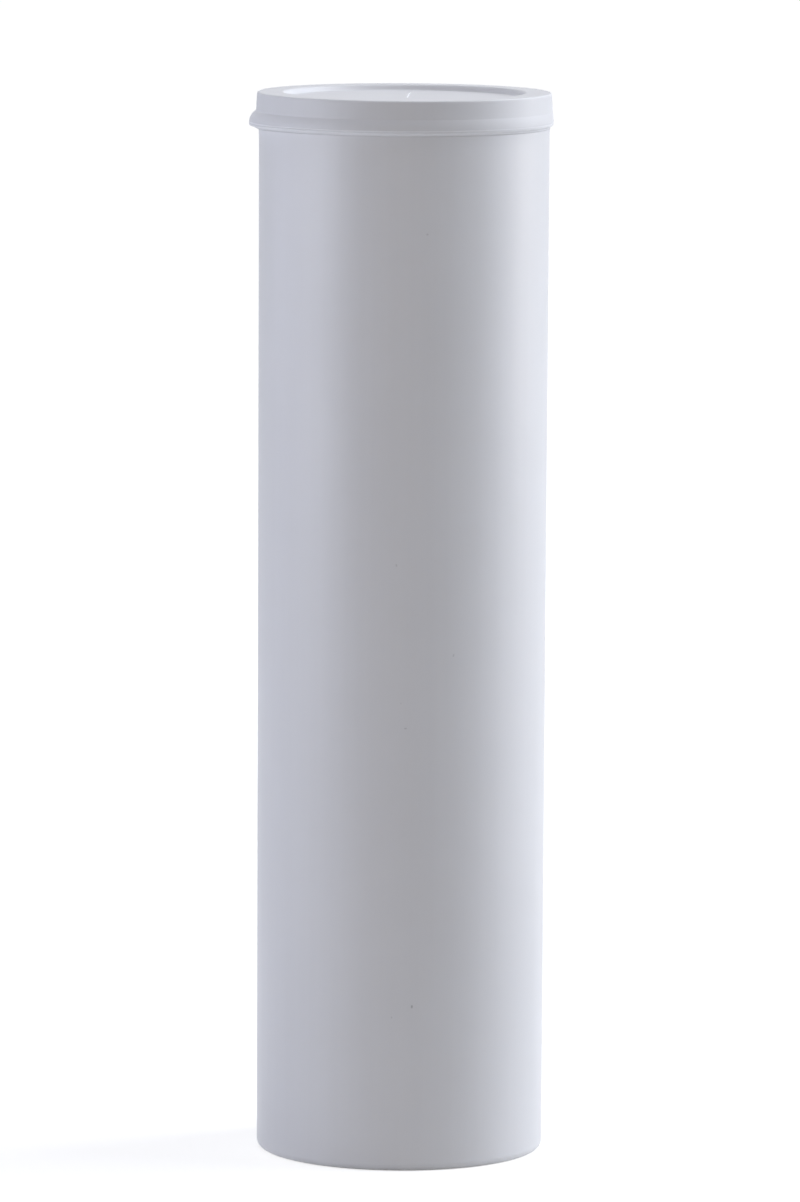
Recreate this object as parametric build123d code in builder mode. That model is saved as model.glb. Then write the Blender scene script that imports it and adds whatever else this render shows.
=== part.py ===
from build123d import *
import math
import os

# A tablet tube: a round moulded tube that stands on its base, and a low push-fit lid with a thumb lip.
# Sizes are in mm. Z runs up the axis from the standing plane, and the thumb lip points to -X.

# Overall
overall_height = 110.0  # standing plane to the lid's top edge
tube_diameter = 30.0  # outside of the wall, just under the shoulder
cut_length = 0.45  # a rounding is cut in straight steps no longer than this

# Tube wall
tube_draft = 0.17  # outside radius lost from the shoulder down to the foot
shoulder_swell = 0.06  # the shoulder's edge stands this much proud of the wall
swell_height = 1.0  # the swelling runs out this far under the shoulder
shoulder_rounding = 0.16

# Tube base
floor_height = 1.5  # standing plane to the inside floor
floor_rounding = 0.55
foot_rounding = 0.75
foot_width = 1.2  # flat ring that the tube stands on
base_recess = 0.55  # underside of the base above the standing plane
recess_slope = 0.55  # width of the slope from the foot ring up to the recess
gate_radius = 1.6  # round dimple at the moulding gate, in the middle of the base
gate_depth = 0.2
gate_stub_radius = 0.45
gate_stub_height = 0.13

# Tube neck
neck_step = 0.5  # width of the shoulder, from the wall in to the neck
neck_wall = 0.7
neck_rounding = 0.18  # both edges of the rim
bead_height = 0.12  # snap bead round the neck
bead_width = 0.9
bead_rise = 1.35  # the bead's crest above the shoulder
bead_crest = 0.2  # flat width along the bead's top

# Lid shell
lid_height = 3.56  # top edge to the lower end of the skirt
lid_overhang = 0.24  # the lid's top radius less the tube's
lid_draft = 0.15  # radius gained from the top edge to the lower end
lid_rounding = 0.14
roof_thickness = 1.0  # over the neck's rim
recess_depth = 0.59
recess_flare = 0.08  # the recess is this much wider at its top
panel_thickness = 0.85
seat_gap = 0.08  # between the skirt's lower end and the shoulder

# Lid snap hook and plug
hook_clearance = 0.04  # hook to bead, as the lid passes over it
hook_depth = 0.1
hook_height = 0.6
hook_lead_in = 0.12
plug_depth = 5.0  # below the roof
plug_wall = 0.65
plug_clearance = 0.05  # sealing ring to the mouth
plug_relief = 0.12  # the plug's root lies this far inside its sealing ring
seal_rise = 1.5  # the sealing ring above the plug's end
seal_width = 1.2
plug_lead_in = 0.2

# Thumb lip
lip_drop = 2.1  # the lip starts this far below the lid's top
lip_thumb_drop = 3.36  # widest here, at the thumb side
lip_far_drop = 2.84  # and here, at the far side
lip_reach = 0.74  # beyond the skirt, at the thumb side
lip_sink = 0.02  # inside the skirt, at the far side
lip_root = 0.05  # the lip's first circle lies this far inside the skirt
lip_fullness = 0.66  # share of the reach at half of the lip's height
lip_rounding = 0.16

# Gate vestige on the lid
vestige_height = 0.43
vestige_root_radius = 0.2
vestige_tip_radius = 0.1
vestige_offset = 0.2  # root, from the axis towards +X
vestige_lean = 0.35  # tip, from the root towards +X

# Heights
lid_low = overall_height - lid_height
shoulder_z = lid_low - seat_gap
rim_z = overall_height - roof_thickness
panel_top = overall_height - recess_depth
panel_low = panel_top - panel_thickness
plug_low = rim_z - plug_depth
seal_z = plug_low + seal_rise
bead_z = shoulder_z + bead_rise
base_top = base_recess + gate_depth

# Radii
wall_radius = tube_diameter / 2
foot_radius = wall_radius - tube_draft
foot_inner = foot_radius - foot_rounding - foot_width
neck_radius = wall_radius - neck_step
mouth_radius = neck_radius - neck_wall
lid_radius = wall_radius + lid_overhang
skirt_radius = lid_radius + lid_draft
hook_radius = neck_radius + bead_height + hook_clearance
channel_radius = hook_radius + hook_depth
seal_radius = mouth_radius - plug_clearance
root_radius = seal_radius - plug_relief
recess_radius = seal_radius - plug_wall

os.makedirs("parts", exist_ok=True)


def closed_profile(corners):
    """Draw a closed outline from (radius, height, rounding) corners, each rounding cut in straight steps."""
    points = []
    for index, (radius, height, rounding) in enumerate(corners):
        corner = Vector(radius, height)
        if rounding == 0:
            points.append(corner)
            continue
        back = (Vector(*corners[index - 1][:2]) - corner).normalized()
        ahead = (Vector(*corners[(index + 1) % len(corners)][:2]) - corner).normalized()
        half_angle = math.radians(back.get_angle(ahead)) / 2
        centre = corner + (back + ahead).normalized() * (rounding / math.sin(half_angle))
        turn = math.pi - 2 * half_angle
        steps = math.ceil(rounding * turn / cut_length)
        bisector = (corner - centre).normalized()
        across = (ahead - back).normalized()
        for step in range(steps + 1):
            angle = turn * (step / steps - 0.5)
            points.append(centre + bisector * (rounding * math.cos(angle)) + across * (rounding * math.sin(angle)))
    Polyline(*points, close=True)


# Tube: base with foot ring, drafted wall, shoulder, and neck with its snap bead
with BuildPart() as tube:
    with BuildSketch(Plane.XZ):
        with BuildLine():
            closed_profile(
                [
                    (0, base_top - gate_stub_height, 0),
                    (gate_stub_radius, base_top - gate_stub_height, 0),
                    (gate_stub_radius, base_top, 0),
                    (gate_radius, base_top, 0),
                    (gate_radius, base_recess, 0),
                    (foot_inner - recess_slope, base_recess, 0),
                    (foot_inner, 0, 0),
                    (foot_radius, 0, foot_rounding),
                    (wall_radius, shoulder_z - swell_height, 0),
                    (wall_radius + shoulder_swell, shoulder_z, shoulder_rounding),
                    (neck_radius, shoulder_z, 0),
                    (neck_radius, bead_z - bead_width / 2, 0),
                    (neck_radius + bead_height, bead_z - bead_crest / 2, 0),
                    (neck_radius + bead_height, bead_z + bead_crest / 2, 0),
                    (neck_radius, bead_z + bead_width / 2, 0),
                    (neck_radius, rim_z, neck_rounding),
                    (mouth_radius, rim_z, neck_rounding),
                    (mouth_radius, floor_height, floor_rounding),
                    (0, floor_height, 0),
                ]
            )
        make_face()
    revolve(axis=Axis.Z)

# Lid: the thumb lip is a flare of circles that drift and dip towards -X, under a shell with a plug ring
band_radius = lid_radius + lid_draft * lip_drop / lid_height
lip_growth = (lip_reach - lip_sink) / 2
lip_drift = (lip_reach + lip_sink) / 2
lip_radius = band_radius + lip_growth
lip_crest_drop = (lip_thumb_drop + lip_far_drop) / 2
lip_middle_drop = (lip_drop + lip_crest_drop) / 2
lip_tilt = math.degrees(math.atan((lip_far_drop - lip_thumb_drop) / (2 * lip_radius)))
lip_core_radius = (channel_radius + lid_radius) / 2
lip_sections = [
    (lip_drop, 0, 0, band_radius - lip_root),
    (lip_middle_drop, lip_tilt / 2, lip_drift * lip_fullness, band_radius + lip_growth * lip_fullness),
    (lip_crest_drop, lip_tilt, lip_drift, lip_radius),
    (lip_crest_drop + lip_rounding, lip_tilt, lip_drift, lip_radius - lip_rounding),
]

with BuildPart() as lid:
    for drop, tilt, drift, radius in lip_sections:
        with BuildSketch(Plane((-drift, 0, overall_height - drop)).rotated((0, tilt, 0))):
            Circle(radius)
    loft(ruled=True)
    with BuildSketch(Plane.XY.offset(overall_height)):
        Circle(lip_core_radius)
    extrude(amount=-2 * lid_height, mode=Mode.SUBTRACT)
    with BuildSketch(Plane.XZ):
        with BuildLine():
            closed_profile(
                [
                    (0, panel_top, 0),
                    (recess_radius, panel_top, 0),
                    (recess_radius + recess_flare, overall_height, lid_rounding),
                    (lid_radius, overall_height, lid_rounding),
                    (skirt_radius, lid_low, lid_rounding),
                    (hook_radius + hook_lead_in, lid_low, 0),
                    (hook_radius, lid_low + hook_lead_in, 0),
                    (hook_radius, lid_low + hook_height - hook_depth, 0),
                    (channel_radius, lid_low + hook_height, 0),
                    (channel_radius, rim_z, 0),
                    (root_radius, rim_z, 0),
                    (root_radius, seal_z + seal_width / 2, 0),
                    (seal_radius, seal_z, 0),
                    (seal_radius - plug_lead_in, plug_low, 0),
                    (recess_radius, plug_low, 0),
                    (recess_radius, panel_low, 0),
                    (0, panel_low, 0),
                ]
            )
        make_face()
    revolve(axis=Axis.Z)
    with BuildSketch(Plane((vestige_offset, 0, panel_top - vestige_tip_radius))):
        Circle(vestige_root_radius)
    with BuildSketch(Plane((vestige_offset + vestige_lean, 0, panel_top + vestige_height))):
        Circle(vestige_tip_radius)
    loft()

tube.part.label = "tube"
export_step(tube.part, "parts/tube.step")
lid.part.label = "lid"
export_step(lid.part, "parts/lid.step")
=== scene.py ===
"""Looks of the tablet tube: its two mouldings, their plastics, a pale floor, studio light and the camera."""

import math

import bpy
from mathutils import Matrix, Vector


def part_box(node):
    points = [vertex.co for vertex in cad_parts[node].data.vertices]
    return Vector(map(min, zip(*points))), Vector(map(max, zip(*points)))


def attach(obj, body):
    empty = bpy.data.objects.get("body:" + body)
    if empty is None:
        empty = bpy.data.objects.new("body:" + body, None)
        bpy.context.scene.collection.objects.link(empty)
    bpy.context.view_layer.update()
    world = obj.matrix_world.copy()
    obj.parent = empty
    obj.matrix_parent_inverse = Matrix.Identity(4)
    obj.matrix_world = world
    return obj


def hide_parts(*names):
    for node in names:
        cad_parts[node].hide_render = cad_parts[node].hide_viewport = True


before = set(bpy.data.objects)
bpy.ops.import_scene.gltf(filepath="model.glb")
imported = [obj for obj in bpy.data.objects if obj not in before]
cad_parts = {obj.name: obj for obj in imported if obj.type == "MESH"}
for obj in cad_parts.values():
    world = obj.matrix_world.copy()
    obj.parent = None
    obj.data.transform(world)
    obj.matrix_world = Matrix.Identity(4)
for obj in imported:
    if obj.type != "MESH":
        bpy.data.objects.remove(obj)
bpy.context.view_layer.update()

MM = 0.001

# Camera, as the photograph was taken
CAMERA_PLACE = Vector((-0.00019, -0.8372, 0.1613))
CAMERA_PITCH = math.radians(7.086)
CAMERA_ROLL = math.radians(0.304)
CAMERA_SENSOR = 36.0
CAMERA_LENS = 243.8

# Softboxes: azimuth from the camera's side towards +X, height of the middle, distance from the axis,
# width, height, watts, tint
SOFTBOXES = {
    "softbox_right": (99, 0.60, 1.10, 1.10, 1.00, 12.4, (0.78, 0.86, 1.0)),
    "right_high": (110, 0.575, 0.468, 0.26, 0.32, 0.80, (1.0, 0.89, 0.72)),
    "right_low": (108, 0.13, 0.69, 0.36, 0.16, 0.62, (1.0, 0.91, 0.84)),
    "softbox_left": (-70, 0.13, 0.69, 0.45, 0.20, 1.64, (0.83, 0.87, 1.0)),
    "left_edge": (-105, 0.14, 0.69, 0.40, 0.20, 0.60, (0.80, 0.82, 1.0)),
    "overhead": (180, 0.75, 0.01, 0.40, 0.40, 1.70, (0.86, 0.88, 1.0)),
    "front_fill": (0, 0.25, 0.95, 0.90, 0.45, 1.20, (1.0, 0.87, 0.75)),
}
AIM = Vector((0.0, 0.0, 0.055))

# Floor and surround: what the camera sees, from near the tube to far away, and what surfaces mirror
FLOOR_HALF = 6.0
FLOOR_COLOUR = (0.6, 0.6, 0.6, 1.0)
FLOOR_NEAR = 0.08
FLOOR_FAR = 0.5
FLOOR_GLOW_NEAR = 0.72
FLOOR_GLOW_FAR = 1.0
FLOOR_MIRRORED = 0.65
WORLD_COLOUR = (1.0, 1.0, 1.0, 1.0)
WORLD_MIRRORED = 1.0

# Fineness of the meshes: steps round the axis and in an arc, and the distance in mm from an arc to the guard
# point that keeps the next stretch flat; arcs and guard points keep to these shares of a stretch
SEGMENTS = 288
ARC_STEPS = 8
ARC_GUARD = 0.04
ARC_SHARE = 0.45
GUARD_SHARE = 0.48

# Heights in mm that the solids give
LID_TOP = round(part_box("lid")[1].z / MM, 3)
PLUG_END = round(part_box("lid")[0].z / MM, 3)
NECK_TOP = round(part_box("tube")[1].z / MM, 3)

# Tube, in mm: heights and radii
STUB_END = 0.62
DIMPLE_TOP = 0.75
BASE_RECESS = 0.55
INSIDE_FLOOR = 1.5
SWELL_START = 105.2
SHOULDER = 106.37
BEAD_MIDDLE = 107.71
BEAD_HALF = 0.45
STUB_RADIUS = 0.45
DIMPLE_RADIUS = 1.6
RECESS_EDGE_RADIUS = 12.33
FOOT_INNER_RADIUS = 12.88
FOOT_RADIUS = 14.865
WALL_RADIUS = 14.965
SHOULDER_RADIUS = 15.0
NECK_RADIUS = 14.5
BEAD_RADIUS = 14.62
MOUTH_RADIUS = 13.8

# Tube outline from the axis under the base round to the axis on the inside floor: radius, height, rounding
TUBE_CORNERS = [
    (0.0, STUB_END, 0.0),
    (STUB_RADIUS, STUB_END, 0.06),
    (STUB_RADIUS, DIMPLE_TOP, 0.05),
    (DIMPLE_RADIUS, DIMPLE_TOP, 0.08),
    (DIMPLE_RADIUS, BASE_RECESS, 0.08),
    (RECESS_EDGE_RADIUS, BASE_RECESS, 0.3),
    (FOOT_INNER_RADIUS, 0.0, 0.3),
    (FOOT_RADIUS, 0.0, 0.75),
    (WALL_RADIUS, SWELL_START, 8.0),
    (SHOULDER_RADIUS, SHOULDER, 0.01),
    (NECK_RADIUS, SHOULDER, 0.1),
    (NECK_RADIUS, BEAD_MIDDLE - BEAD_HALF, 0.3),
    (BEAD_RADIUS, BEAD_MIDDLE, 0.35),
    (NECK_RADIUS, BEAD_MIDDLE + BEAD_HALF, 0.3),
    (NECK_RADIUS, NECK_TOP, 0.18),
    (MOUTH_RADIUS, NECK_TOP, 0.18),
    (MOUTH_RADIUS, INSIDE_FLOOR, 0.55),
    (0.0, INSIDE_FLOOR, 0.0),
]

# Lid, in mm: heights and radii, with small gaps to the tube's shoulder; the skirt gains its slope in radius
# for each mm down
RECESS_DEPTH = 0.59
PANEL_THICKNESS = 0.85
PANEL_TOP = LID_TOP - RECESS_DEPTH
PANEL_LOW = PANEL_TOP - PANEL_THICKNESS
SEAT_GAP = 0.01
SEAT = SHOULDER + SEAT_GAP
HOOK_LOW = 106.82
HOOK_HIGH = 107.1
CHANNEL_LOW = 107.2
PLUG_NARROW = 106.1
SEAL_HEIGHT = 105.5
RECESS_RADIUS = 12.12
RECESS_RIM_RADIUS = 12.42
SKIRT_TOP_RADIUS = 15.16
SKIRT_SLOPE = 0.06
ROOT_GAP = 0.007
ROOT_INNER_RADIUS = SHOULDER_RADIUS + ROOT_GAP
LEAD_IN_RADIUS = 14.78
HOOK_RADIUS = 14.66
CHANNEL_RADIUS = 14.76
PLUG_RADIUS = 13.63
SEAL_RADIUS = 13.75
PLUG_END_RADIUS = 13.55
PLUG_INNER_RADIUS = 13.1

# Lid outline: the recessed top with the start of the skirt, and the inside from the seat on the shoulder to
# the axis under the panel: radius, height, rounding
LID_TOP_CORNERS = [
    (0.0, PANEL_TOP, 0.0),
    (RECESS_RADIUS, PANEL_TOP, 0.3),
    (RECESS_RIM_RADIUS, LID_TOP, 0.3),
    (SKIRT_TOP_RADIUS, LID_TOP, 0.2),
    (SKIRT_TOP_RADIUS + SKIRT_SLOPE, LID_TOP - 1.0, 0.0),
]
LID_INSIDE_CORNERS = [
    (ROOT_INNER_RADIUS, SEAT, 0.0),
    (LEAD_IN_RADIUS, SEAT, 0.05),
    (HOOK_RADIUS, HOOK_LOW, 0.05),
    (HOOK_RADIUS, HOOK_HIGH, 0.05),
    (CHANNEL_RADIUS, CHANNEL_LOW, 0.05),
    (CHANNEL_RADIUS, NECK_TOP, 0.1),
    (PLUG_RADIUS, NECK_TOP, 0.1),
    (PLUG_RADIUS, PLUG_NARROW, 0.4),
    (SEAL_RADIUS, SEAL_HEIGHT, 0.6),
    (PLUG_END_RADIUS, PLUG_END, 0.12),
    (PLUG_INNER_RADIUS, PLUG_END, 0.12),
    (PLUG_INNER_RADIUS, PANEL_LOW, 0.2),
    (0.0, PANEL_LOW, 0.0),
]

# Thumb lip, in mm below the lid's top: it stands out by its growth all round, and by its drift more at the
# thumb and less at the far side; at the thumb itself it reaches further, is fuller and dips, as a small tab
LIP_LEAD = 0.05
LIP_START = 1.95
LIP_CREST = 3.0
LIP_STEPS = 24
LIP_GROWTH = 0.18
LIP_DRIFT = 0.08
LIP_FLARE = 1.9
THUMB_REACH = 0.45
THUMB_POWER = 10
TAB_FULLNESS = 1.0
FULLNESS_POWER = 4
TAB_CREST_DIP = 0.32
TAB_POWER = 14

# Under the lip: a first bead, as insets from the crest, drops and roundings; then a crease, a second bead and
# the root, as radius and drop, the same two at the thumb, and rounding
ROOT_DROP = 3.66
FIRST_BEAD = [(0.0, 3.0, 0.03), (0.02, 3.03, 0.02), (0.0, 3.06, 0.04), (0.03, 3.14, 0.05)]
SECOND_BEAD = [
    (15.35, 3.21, 15.6, 3.60, 0.05),
    (15.34, 3.29, 15.4, 3.69, 0.06),
    (15.17, 3.42, 15.25, 3.77, 0.05),
    (15.05, 3.50, 15.12, 3.82, 0.05),
    (15.012, ROOT_DROP, 15.06, 3.87, 0.0),
]
BEAD_ARC_STEPS = 4
BEAD_ARC_GUARD = 0.01

# Torn gate on the lid, in mm: its root's distance from the axis towards +X, the turn of its face, its uneven
# outline, and its rings as lean along the face, height above the panel, half width, half thickness
VESTIGE_ROOT = 0.22
VESTIGE_TURN = math.radians(60)
VESTIGE_SIDES = 24
VESTIGE_UNEVEN = 0.1
VESTIGE_LOBES = 3
VESTIGE_TWIST = 9
VESTIGE_RINGS = [
    (0.00, -0.04, 0.26, 0.20),
    (0.02, 0.02, 0.23, 0.10),
    (0.12, 0.10, 0.22, 0.06),
    (0.32, 0.24, 0.21, 0.05),
    (0.56, 0.37, 0.18, 0.045),
    (0.74, 0.46, 0.11, 0.04),
    (0.80, 0.50, 0.03, 0.02),
]

# Plastics: colour, roughness, share of light that scatters inside, and how deep in mm
TUBE_PLASTIC = ((0.80, 0.805, 0.82), 0.36, 0.25, 0.5)
LID_PLASTIC = ((0.75, 0.755, 0.77), 0.48, 0.2, 0.4)
# The torn gate's plastic is painted lighter than the lid's, a painted highlight for the light that the thin
# shred lets through and glints with
TORN_PLASTIC_PAINTED_LIGHT = ((0.92, 0.92, 0.93), 0.4, 0.0, 0.1)
SCATTER_RADIUS = (1.0, 0.95, 0.9)

# Texture of the plastics: features to a metre, then what they do to tone, roughness and depth in mm
CLOUD_SCALE = 70.0
CLOUD_DETAIL = 3.0
CLOUD_TONE = 0.012
FLOW_SCALE = 900.0
FLOW_STRETCH = (1.0, 1.0, 0.02)
FLOW_TONE = 0.006
FLOW_ROUGHNESS = 0.015
WAVE_SCALE = 110.0
WAVE_DETAIL = 1.0
WAVE_ROUGHNESS = 0.025
WAVE_DEPTH = 0.03
GRAIN_SCALE = 4200.0
GRAIN_DEPTH = 0.0012

# Dust: cells to a metre, depth of tone, a pinpoint's core and edge as shares of a cell, and the draw above
# which a cell has one
DUST_SCALE = 140.0
DUST_TONE = 0.10
DUST_CORE = 0.006
DUST_EDGE = 0.016
DUST_DRAW = 0.66

# Specks in the tube's wall: azimuth in degrees, height, half width and half height in mm, slant in degrees,
# depth of tone; their middles lie at one radius, and all reach as far into the wall
SPECKS = [
    (9.2, 96.47, 0.15, 0.13, 0, 0.16),
    (-2.2, 62.72, 0.11, 0.21, -12, 0.15),
    (20.8, 53.39, 0.10, 0.22, 20, 0.17),
    (1.7, 45.98, 0.19, 0.10, 0, 0.20),
    (4.8, 17.20, 0.13, 0.22, 0, 0.32),
    (-3.2, 16.07, 0.09, 0.15, 0, 0.14),
]
SPECK_RADIUS = 14.9
SPECK_REACH = 0.5
SPECK_CORE = 0.45

# Painted highlights: lighter tone on the edges of the two beads under the lip, over the shade in their
# creases: height and half height in mm, gain of tone
LID_PAINTED_HIGHLIGHTS = [(LID_TOP - 3.10, 0.10, 0.22), (LID_TOP - 3.42, 0.22, 0.25)]
PAINTED_HIGHLIGHT_CORE = 0.3


def rounded_outline(corners, arc_steps=ARC_STEPS, arc_guard=ARC_GUARD):
    """Turn corners into outline points, with an arc at each rounding and a guard point on each side of it."""
    points = []
    for index, (radius, height, rounding) in enumerate(corners):
        corner = Vector((radius, height))
        if rounding == 0.0:
            points.append(corner)
            continue
        back = Vector(corners[index - 1][:2]) - corner
        ahead = Vector(corners[index + 1][:2]) - corner
        half_angle = back.angle(ahead) / 2
        reach = min(rounding / math.tan(half_angle), ARC_SHARE * back.length, ARC_SHARE * ahead.length)
        arc_radius = reach * math.tan(half_angle)
        guards = []
        for side in (back, ahead):
            room = GUARD_SHARE * side.length - reach
            guards.append(corner + side.normalized() * (reach + min(arc_guard, reach / 2, room)))
        back.normalize()
        ahead.normalize()
        centre = corner + (back + ahead).normalized() * (arc_radius / math.sin(half_angle))
        outward = (corner - centre).normalized() * arc_radius
        across = (ahead - back).normalized() * arc_radius
        turn = math.pi - 2 * half_angle
        points.append(guards[0])
        for step in range(arc_steps + 1):
            angle = turn * (step / arc_steps - 0.5)
            points.append(centre + outward * math.cos(angle) + across * math.sin(angle))
        points.append(guards[1])
    return points


def lip_outline(azimuth):
    """Outer wall of the lid from just above the lip to its root; azimuth is measured from the thumb side."""
    facing = math.cos(azimuth)
    tab = max(0.0, facing) ** TAB_POWER
    reach = LIP_GROWTH + LIP_DRIFT * facing + THUMB_REACH * ((1 + facing) / 2) ** THUMB_POWER
    dip = TAB_CREST_DIP * tab
    flare = LIP_FLARE + TAB_FULLNESS * max(0.0, facing) ** FULLNESS_POWER
    band = SKIRT_TOP_RADIUS + SKIRT_SLOPE * LIP_START
    wall = [Vector((band - SKIRT_SLOPE * LIP_LEAD, LID_TOP - LIP_START + LIP_LEAD))]
    for step in range(LIP_STEPS):
        share = step / LIP_STEPS
        drop = LIP_START + share * (LIP_CREST + dip - LIP_START)
        wall.append(Vector((band + reach * (1 - (1 - share) ** flare), LID_TOP - drop)))
    corners = [(wall[-1].x, wall[-1].y, 0.0)]
    for inset, drop, rounding in FIRST_BEAD:
        corners.append((band + reach - inset, LID_TOP - drop - dip, rounding))
    for radius, drop, thumb_radius, thumb_drop, rounding in SECOND_BEAD:
        low = drop + tab * (thumb_drop - drop)
        corners.append((radius + tab * (thumb_radius - radius), LID_TOP - low, rounding))
    corners.append((ROOT_INNER_RADIUS, LID_TOP - ROOT_DROP, 0.0))
    return wall[:-1] + rounded_outline(corners, BEAD_ARC_STEPS, BEAD_ARC_GUARD)


def mesh_object(name, verts, faces):
    """Link a smooth-shaded mesh."""
    mesh = bpy.data.meshes.new(name)
    mesh.from_pydata(verts, [], faces)
    mesh.validate()
    mesh.polygons.foreach_set("use_smooth", [True] * len(mesh.polygons))
    piece = bpy.data.objects.new(name, mesh)
    bpy.context.scene.collection.objects.link(piece)
    return piece


def revolved(name, outline_at):
    """Turn outlines, one for each azimuth from -X, into a mesh; their two ends lie on the axis."""
    angles = [2 * math.pi * segment / SEGMENTS for segment in range(SEGMENTS)]
    outlines = [outline_at(angle) for angle in angles]
    verts = [(0.0, 0.0, outlines[0][0].y * MM), (0.0, 0.0, outlines[0][-1].y * MM)]
    first, last = 0, 1
    for angle, outline in zip(angles, outlines):
        for point in outline[1:-1]:
            verts.append((-point.x * math.cos(angle) * MM, -point.x * math.sin(angle) * MM, point.y * MM))
    count = len(outlines[0]) - 2
    faces = []
    for segment in range(SEGMENTS):
        here = 2 + segment * count
        there = 2 + (segment + 1) % SEGMENTS * count
        faces.append((first, there, here))
        for step in range(count - 1):
            faces.append((here + step, there + step, there + step + 1, here + step + 1))
        faces.append((last, here + count - 1, there + count - 1))
    return mesh_object(name, verts, faces)


def make_tube():
    """The tube: base, wall, shoulder, and neck with its snap bead."""
    outline = rounded_outline(TUBE_CORNERS)
    return revolved("tube_moulding", lambda azimuth: outline)


def make_lid():
    """The lid: recessed top, skirt with the thumb lip, hook and plug ring."""
    top = rounded_outline(LID_TOP_CORNERS)[:-1]
    inside = rounded_outline(LID_INSIDE_CORNERS)
    # The outline runs from the inside to the top, so that the faces look outwards
    return revolved("lid_moulding", lambda azimuth: (top + lip_outline(azimuth) + inside)[::-1])


def make_vestige():
    """The torn gate in the middle of the lid: a thin shred that leans over."""
    verts = []
    for lean, height, half_width, half_thickness in VESTIGE_RINGS:
        for side in range(VESTIGE_SIDES):
            angle = 2 * math.pi * side / VESTIGE_SIDES
            uneven = 1 + VESTIGE_UNEVEN * math.sin(VESTIGE_LOBES * angle + VESTIGE_TWIST * height)
            along = lean + half_width * uneven * math.cos(angle)
            across = half_thickness * uneven * math.sin(angle)
            verts.append((
                (VESTIGE_ROOT + along * math.cos(VESTIGE_TURN) - across * math.sin(VESTIGE_TURN)) * MM,
                (along * math.sin(VESTIGE_TURN) + across * math.cos(VESTIGE_TURN)) * MM,
                (PANEL_TOP + height) * MM,
            ))
    tip = len(verts) - VESTIGE_SIDES
    faces = [tuple(range(VESTIGE_SIDES))[::-1], tuple(range(tip, len(verts)))]
    for here in range(0, tip, VESTIGE_SIDES):
        above = here + VESTIGE_SIDES
        for side in range(VESTIGE_SIDES):
            after = (side + 1) % VESTIGE_SIDES
            faces.append((here + side, here + after, above + after, above + side))
    return mesh_object("gate_vestige", verts, faces)


def material_nodes(name):
    """Make a material with an empty node tree and its output node."""
    material = bpy.data.materials.new(name)
    material.use_nodes = True
    tree = material.node_tree
    tree.nodes.clear()
    output = tree.nodes.new("ShaderNodeOutputMaterial")
    return material, tree, output


def node(tree, kind, sockets=None, **settings):
    """Add a node with its settings, and give its input sockets a value or a link each."""
    made = tree.nodes.new(kind)
    for name, value in settings.items():
        setattr(made, name, value)
    for socket, value in (sockets or {}).items():
        if isinstance(value, bpy.types.NodeSocket):
            tree.links.new(value, made.inputs[socket])
        else:
            made.inputs[socket].default_value = value
    return made


def noise(tree, place, scale, detail=2.0):
    """Noise over the surface, with features about 1/scale metres wide."""
    sockets = {"Vector": place, "Scale": scale, "Detail": detail}
    return node(tree, "ShaderNodeTexNoise", sockets).outputs["Fac"]


def spread(tree, value, low, high, start=0.3, end=0.7, **settings):
    """Map a value between start and end to low and high; the defaults suit a noise."""
    sockets = {"Value": value, "From Min": start, "From Max": end, "To Min": low, "To Max": high}
    return node(tree, "ShaderNodeMapRange", sockets, **settings).outputs["Result"]


def combine(tree, operation, *values):
    """Join values, each a socket or a number, with a maths node."""
    return node(tree, "ShaderNodeMath", dict(enumerate(values)), operation=operation).outputs[0]


def length(tree, vector):
    """Length of a vector."""
    return node(tree, "ShaderNodeVectorMath", {0: vector}, operation="LENGTH").outputs["Value"]


def speck_tone(tree, place, speck):
    """Tone of one dark speck: its depth at the speck and 0 elsewhere."""
    azimuth, height, half_width, half_height, slant, depth = speck
    angle = math.radians(azimuth)
    sockets = {
        "Vector": place,
        "Location": (SPECK_RADIUS * math.sin(angle) * MM, -SPECK_RADIUS * math.cos(angle) * MM, height * MM),
        "Rotation": (0.0, math.radians(slant), angle),
        "Scale": (half_width * MM, SPECK_REACH * MM, half_height * MM),
    }
    fitted = node(tree, "ShaderNodeMapping", sockets, vector_type="TEXTURE")
    return spread(tree, length(tree, fitted.outputs["Vector"]), depth, 0.0, SPECK_CORE, 1.0)


def painted_highlight_tone(tree, place, painted_highlight):
    """Tone of one painted highlight round the axis: its gain at the edge's height and 0 elsewhere."""
    height, half_height, gain = painted_highlight
    parts = node(tree, "ShaderNodeSeparateXYZ", {0: place})
    above = combine(tree, "SUBTRACT", parts.outputs["Z"], height * MM)
    away = combine(tree, "ABSOLUTE", above)
    return spread(tree, away, gain, 0.0, PAINTED_HIGHLIGHT_CORE * half_height * MM, half_height * MM)


def dust_tone(tree, place):
    """Tone of faint dark pinpoints strewn over the surface, one in each of about a third of the cells."""
    cells = node(tree, "ShaderNodeTexVoronoi", {"Vector": place, "Scale": DUST_SCALE})
    pinpoint = spread(tree, cells.outputs["Distance"], DUST_TONE, 0.0, DUST_CORE, DUST_EDGE)
    drawn = node(tree, "ShaderNodeSeparateColor", {"Color": cells.outputs["Color"]})
    chosen = combine(tree, "GREATER_THAN", drawn.outputs["Red"], DUST_DRAW)
    return combine(tree, "MULTIPLY", pinpoint, chosen)


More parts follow.
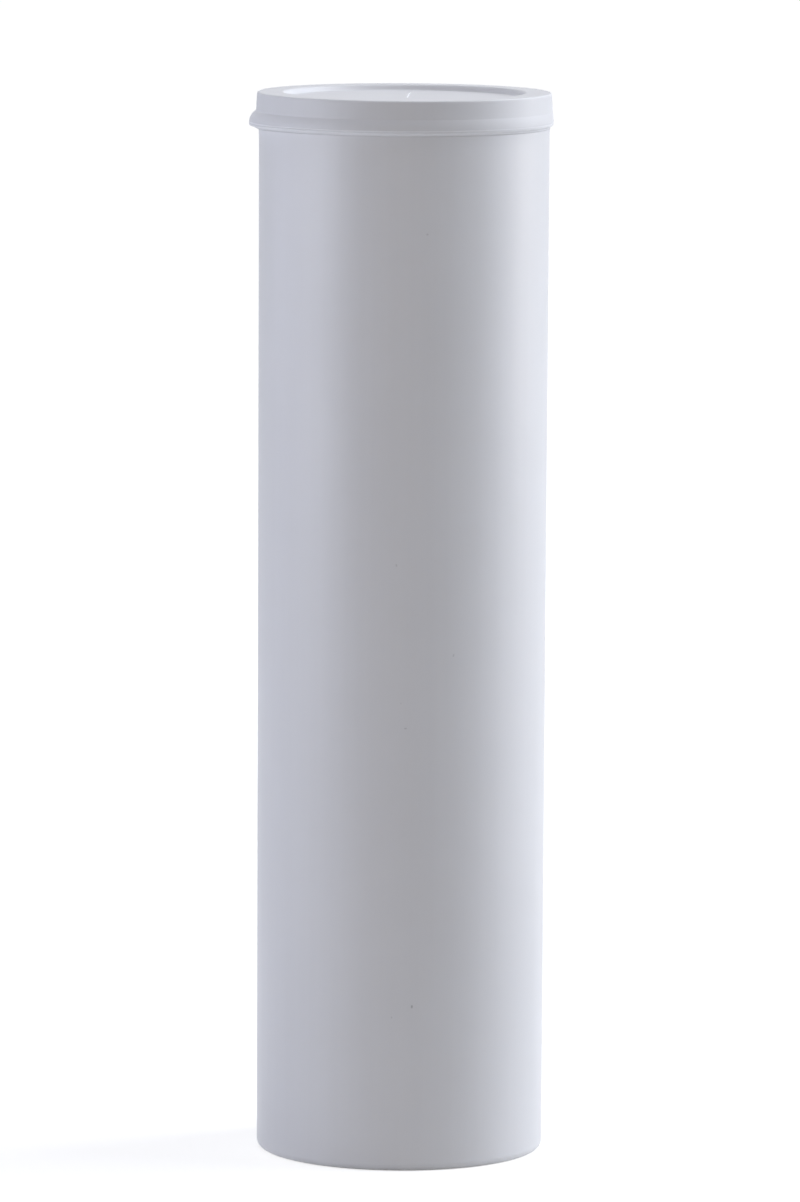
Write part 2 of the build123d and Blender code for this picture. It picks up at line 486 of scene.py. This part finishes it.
def plastic(name, colour, roughness, scatter, scatter_depth, specks=(), painted_highlights=()):
    """A moulded satin plastic: faint clouds, flow lines along the axis, slow waves, a fine grain, dust, and
    painted highlight rings where they are given.
    """
    material, tree, output = material_nodes(name)
    place = node(tree, "ShaderNodeTexCoord").outputs["Object"]
    stretched = node(tree, "ShaderNodeMapping", {"Vector": place, "Scale": FLOW_STRETCH})
    clouds = noise(tree, place, CLOUD_SCALE, CLOUD_DETAIL)
    flow = noise(tree, stretched.outputs["Vector"], FLOW_SCALE)
    grain = noise(tree, place, GRAIN_SCALE)
    waves = noise(tree, place, WAVE_SCALE, WAVE_DETAIL)

    cloud_tone = spread(tree, clouds, -CLOUD_TONE, CLOUD_TONE)
    tone = combine(tree, "ADD", cloud_tone, spread(tree, flow, -FLOW_TONE, FLOW_TONE))
    # Painted highlights: rings of lighter tone that stand in for light on the bead edges
    for painted_highlight in painted_highlights:
        tone = combine(tree, "ADD", tone, painted_highlight_tone(tree, place, painted_highlight))
    dark = dust_tone(tree, place)
    for speck in specks:
        dark = combine(tree, "MAXIMUM", dark, speck_tone(tree, place, speck))
    level = combine(tree, "SUBTRACT", combine(tree, "ADD", tone, 1.0), dark)
    tinted = node(tree, "ShaderNodeVectorMath", {0: colour, "Scale": level}, operation="SCALE")

    wave_roughness = spread(tree, waves, -WAVE_ROUGHNESS, WAVE_ROUGHNESS)
    uneven = combine(tree, "ADD", wave_roughness, spread(tree, flow, -FLOW_ROUGHNESS, FLOW_ROUGHNESS))
    fine = node(tree, "ShaderNodeBump", {"Height": grain, "Distance": GRAIN_DEPTH * MM}).outputs["Normal"]
    slow = node(tree, "ShaderNodeBump", {"Height": waves, "Distance": WAVE_DEPTH * MM, "Normal": fine})
    sockets = {
        "Base Color": tinted.outputs["Vector"],
        "Roughness": combine(tree, "ADD", uneven, roughness),
        "Normal": slow.outputs["Normal"],
        "Subsurface Weight": scatter,
        "Subsurface Radius": SCATTER_RADIUS,
        "Subsurface Scale": scatter_depth * MM,
    }
    shader = node(tree, "ShaderNodeBsdfPrincipled", sockets)
    tree.links.new(shader.outputs["BSDF"], output.inputs["Surface"])
    return material


def shown_rays(tree, glow, mirrored):
    """Strength of a glow: as given for rays from the camera, and mirrored for reflected and refracted rays."""
    path = node(tree, "ShaderNodeLightPath").outputs
    strength = combine(tree, "MULTIPLY", path["Is Camera Ray"], glow)
    for kind in ("Is Glossy Ray", "Is Transmission Ray"):
        strength = combine(tree, "MULTIPLY_ADD", path[kind], mirrored, strength)
    return strength


def make_floor():
    """A pale floor that keeps the shadow near the tube and fades to white further away."""
    half = FLOOR_HALF
    corners = [(-half, -half, 0.0), (half, -half, 0.0), (half, half, 0.0), (-half, half, 0.0)]
    floor = mesh_object("floor", corners, [(0, 1, 2, 3)])
    material, tree, output = material_nodes("floor_white")
    away = length(tree, node(tree, "ShaderNodeTexCoord").outputs["Object"])
    level = spread(
        tree, away, FLOOR_GLOW_NEAR, FLOOR_GLOW_FAR, FLOOR_NEAR, FLOOR_FAR, interpolation_type="SMOOTHSTEP"
    )
    paint = node(tree, "ShaderNodeBsdfDiffuse", {"Color": FLOOR_COLOUR})
    glow = node(tree, "ShaderNodeEmission", {"Strength": shown_rays(tree, level, FLOOR_MIRRORED)})
    both = node(tree, "ShaderNodeAddShader", {0: paint.outputs[0], 1: glow.outputs[0]})
    tree.links.new(both.outputs[0], output.inputs["Surface"])
    floor.data.materials.append(material)


def make_world():
    """A surround that shows white to the camera and in reflections, and lights nothing else."""
    world = bpy.data.worlds.new("studio")
    bpy.context.scene.world = world
    world.use_nodes = True
    tree = world.node_tree
    background = tree.nodes["Background"]
    background.inputs["Color"].default_value = WORLD_COLOUR
    tree.links.new(shown_rays(tree, 1.0, WORLD_MIRRORED), background.inputs["Strength"])


def make_softboxes():
    """Rectangular area lamps round the tube, each turned to its middle."""
    for name, (azimuth, height, distance, width, tall, watts, tint) in SOFTBOXES.items():
        lamp = bpy.data.lights.new(name, "AREA")
        lamp.shape = "RECTANGLE"
        lamp.size = width
        lamp.size_y = tall
        lamp.energy = watts
        lamp.color = tint
        box = bpy.data.objects.new(name, lamp)
        bpy.context.scene.collection.objects.link(box)
        angle = math.radians(azimuth)
        box.location = (distance * math.sin(angle), -distance * math.cos(angle), height)
        box.rotation_euler = (AIM - box.location).to_track_quat("-Z", "Y").to_euler()
        box.visible_camera = False


def make_camera():
    """The photograph's camera: a long lens, a little above the lid, rolled by a hair."""
    data = bpy.data.cameras.new("camera")
    data.sensor_width = CAMERA_SENSOR
    data.lens = CAMERA_LENS
    camera = bpy.data.objects.new("camera", data)
    bpy.context.scene.collection.objects.link(camera)
    camera.matrix_world = (
        Matrix.Translation(CAMERA_PLACE)
        @ Matrix.Rotation(math.pi / 2 - CAMERA_PITCH, 4, "X")
        @ Matrix.Rotation(CAMERA_ROLL, 4, "Z")
    )
    bpy.context.scene.camera = camera


bpy.context.scene.view_settings.view_transform = "Standard"
make_floor()
make_world()
make_softboxes()
make_camera()

tube = make_tube()
tube.data.materials.append(plastic("tube_plastic", *TUBE_PLASTIC, specks=SPECKS))
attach(tube, "tube")
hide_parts("tube")

lid = make_lid()
# The lid's plastic carries painted highlights on the bead edges under the lip
lid.data.materials.append(plastic("lid_plastic", *LID_PLASTIC, painted_highlights=LID_PAINTED_HIGHLIGHTS))
vestige = make_vestige()
# The gate's lighter colour is painted light, not a different plastic
vestige.data.materials.append(plastic("torn_plastic_painted_light", *TORN_PLASTIC_PAINTED_LIGHT))
for piece in (lid, vestige):
    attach(piece, "lid")
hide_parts("lid")
